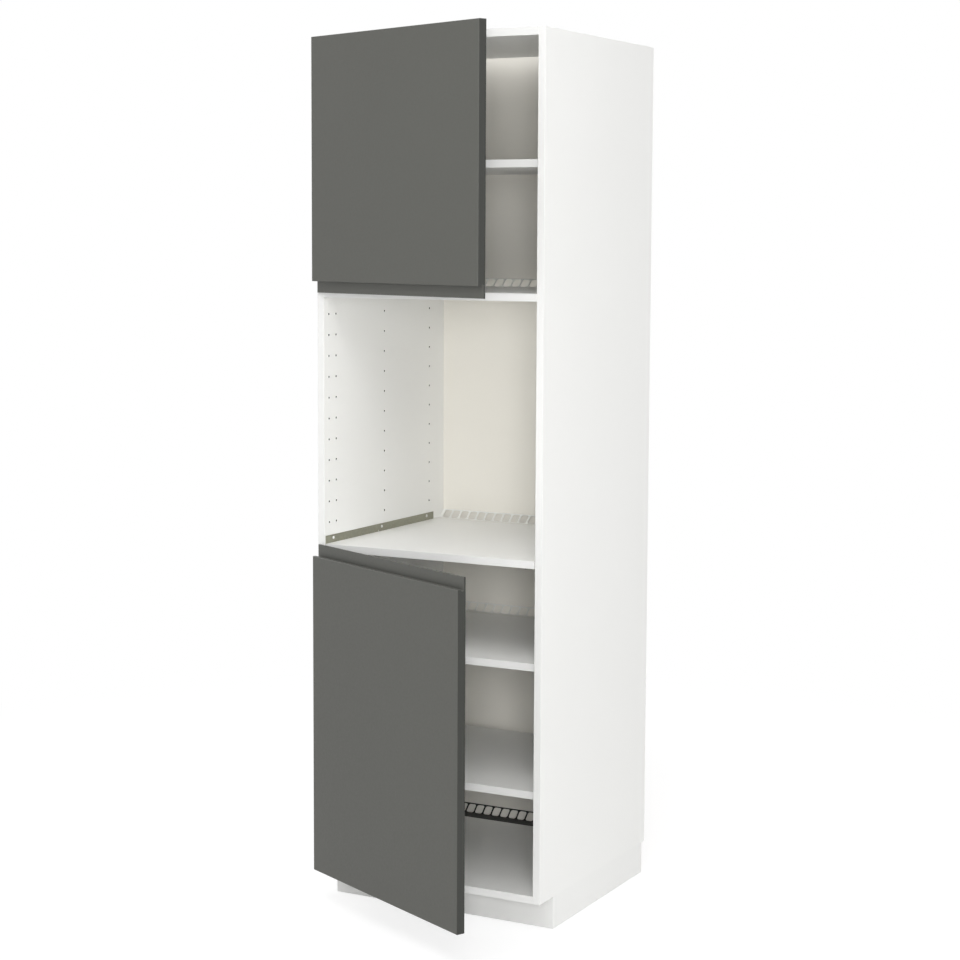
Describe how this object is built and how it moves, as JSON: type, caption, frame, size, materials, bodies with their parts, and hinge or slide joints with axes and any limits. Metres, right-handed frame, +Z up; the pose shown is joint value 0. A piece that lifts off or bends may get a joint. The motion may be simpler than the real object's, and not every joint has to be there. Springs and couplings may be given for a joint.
{
  "type": "tall oven cabinet",
  "caption": "Tall white kitchen cabinet on a plinth with an open oven niche, shelves, vent grilles and dark olive-grey doors on concealed cup hinges.",
  "frame": {"origin": "on the floor, at the middle of the four feet and of the carcass", "axes": "+X to the right seen from the front, +Y to the back, +Z up"},
  "size_m": [0.6026, 0.8783, 2.08],
  "materials": {
    "carcass_board": "matt white foil on particle board",
    "back_sheet": "matt off-white fibreboard",
    "plinth_board": "matt white foil",
    "door_front": "matt dark olive-grey foil on fibreboard",
    "galvanised_steel": "galvanised sheet",
    "bright_steel": "zinc plated",
    "hinge_steel": "nickel plated",
    "white_steel": "matt white powder coat",
    "dark_steel": "matt anthracite powder coat",
    "leg_plastic": "black moulded plastic"
  },
  "bodies": {
    "cabinet": {"left_side_panel": "carcass_board", "right_side_panel": "carcass_board", "top_panel": "carcass_board", "bottom_panel": "carcass_board", "niche_top_shelf": "carcass_board", "oven_shelf": "carcass_board", "upper_shelf": "carcass_board", "middle_shelf": "carcass_board", "lower_shelf": "carcass_board", "back_panel": "back_sheet", "plinth_front": "plinth_board", "plinth_left": "plinth_board", "plinth_right": "plinth_board", "oven_rail_left": "galvanised_steel", "oven_rail_right": "galvanised_steel", "wall_brackets": "galvanised_steel", "rail_screws": "bright_steel", "shelf_pins": "bright_steel", "upper_hinge_arms": "hinge_steel", "upper_hinge_plates": "hinge_steel", "lower_hinge_arms": "hinge_steel", "lower_hinge_plates": "hinge_steel", "niche_top_grille": "white_steel", "oven_shelf_grille": "white_steel", "middle_shelf_grille": "white_steel", "bottom_grille": "dark_steel", "leg_sockets": "leg_plastic", "plinth_clips": "leg_plastic"},
    "upper_outer_links": {"upper_hinge_outer_links": "hinge_steel"},
    "upper_door": {"upper_door": "door_front", "upper_hinge_cups": "hinge_steel"},
    "upper_inner_links": {"upper_hinge_inner_links": "hinge_steel"},
    "lower_outer_links": {"lower_hinge_outer_links": "hinge_steel"},
    "lower_door": {"lower_door": "door_front", "lower_hinge_cups": "hinge_steel"},
    "lower_inner_links": {"lower_hinge_inner_links": "hinge_steel"},
    "foot_front_left": {"foot_front_left": "leg_plastic"},
    "foot_front_right": {"foot_front_right": "leg_plastic"},
    "foot_rear_left": {"foot_rear_left": "leg_plastic"},
    "foot_rear_right": {"foot_rear_right": "leg_plastic"}
  },
  "joints": [
    {"name": "upper_outer_link_turn", "type": "hinge", "parent": "cabinet", "child": "upper_outer_links", "pos_m": [-0.26554, -0.2967, 1.78], "axis": [0, 0, 1], "range_deg": [-7.37, 31.61]},
    {"name": "upper_door_turn", "type": "hinge", "parent": "upper_outer_links", "child": "upper_door", "pos_m": [-0.28618, -0.30855, 1.78], "axis": [0, 0, -1], "range_deg": [-28.02, 120.86]},
    {"name": "upper_inner_link_turn", "type": "hinge", "parent": "upper_door", "child": "upper_inner_links", "pos_m": [-0.28196, -0.30778, 1.78], "axis": [0, 0, 1], "range_deg": [-25.86, 111.41]},
    {"name": "lower_outer_link_turn", "type": "hinge", "parent": "cabinet", "child": "lower_outer_links", "pos_m": [-0.26554, -0.2967, 0.48], "axis": [0, 0, 1], "range_deg": [-9.13, 29.84]},
    {"name": "lower_door_turn", "type": "hinge", "parent": "lower_outer_links", "child": "lower_door", "pos_m": [-0.2858, -0.30918, 0.48], "axis": [0, 0, -1], "range_deg": [-34.78, 114.09]},
    {"name": "lower_inner_link_turn", "type": "hinge", "parent": "lower_door", "child": "lower_inner_links", "pos_m": [-0.28154, -0.30878, 0.48], "axis": [0, 0, 1], "range_deg": [-32.1, 105.17]},
    {"name": "foot_front_left_adjust", "type": "slide", "parent": "cabinet", "child": "foot_front_left", "axis": [0, 0, -1], "range_m": [-0.005, 0.015]},
    {"name": "foot_front_right_adjust", "type": "slide", "parent": "cabinet", "child": "foot_front_right", "axis": [0, 0, -1], "range_m": [-0.005, 0.015]},
    {"name": "foot_rear_left_adjust", "type": "slide", "parent": "cabinet", "child": "foot_rear_left", "axis": [0, 0, -1], "range_m": [-0.005, 0.015]},
    {"name": "foot_rear_right_adjust", "type": "slide", "parent": "cabinet", "child": "foot_rear_right", "axis": [0, 0, -1], "range_m": [-0.005, 0.015]}
  ],
  "couplings": [
    {"joint": "upper_outer_link_turn", "follows": "upper_door_turn", "ratio": 0.26112},
    {"joint": "upper_inner_link_turn", "follows": "upper_door_turn", "ratio": 0.92138},
    {"joint": "lower_outer_link_turn", "follows": "lower_door_turn", "ratio": 0.26112},
    {"joint": "lower_inner_link_turn", "follows": "lower_door_turn", "ratio": 0.92138}
  ]
}
